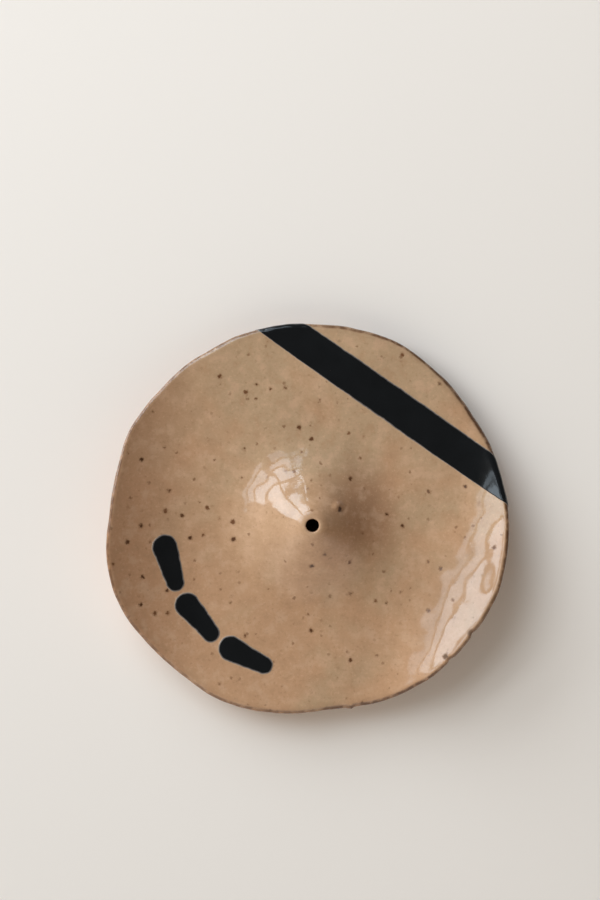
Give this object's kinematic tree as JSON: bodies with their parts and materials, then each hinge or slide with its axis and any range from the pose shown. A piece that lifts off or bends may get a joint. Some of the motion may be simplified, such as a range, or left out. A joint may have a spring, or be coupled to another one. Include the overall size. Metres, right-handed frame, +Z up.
{
  "type": "incense stick holder",
  "caption": "Round hand-built stoneware dish with a low cone in the middle, pierced by a blind hole that holds an incense stick upright over a trough for the ash.",
  "frame": {"origin": "middle of the foot, on the surface that the dish stands on, below the stick hole", "axes": "+Z up along the stick hole; -X towards the middle of the left raised side, the right one lying 25 degrees clockwise from +X seen from above"},
  "size_m": [0.1103, 0.1083, 0.0184],
  "materials": {
    "stoneware": "bare fired clay, matt and slightly rough",
    "clear_glaze": "glossy clear glaze over speckled tan clay",
    "black_glaze": "glossy black glaze"
  },
  "bodies": {
    "root": {"stoneware_body": "stoneware", "clear_glaze": "clear_glaze", "black_stripe": "black_glaze", "black_dash_1": "black_glaze", "black_dash_2": "black_glaze", "black_dash_3": "black_glaze"}
  },
  "joints": []
}
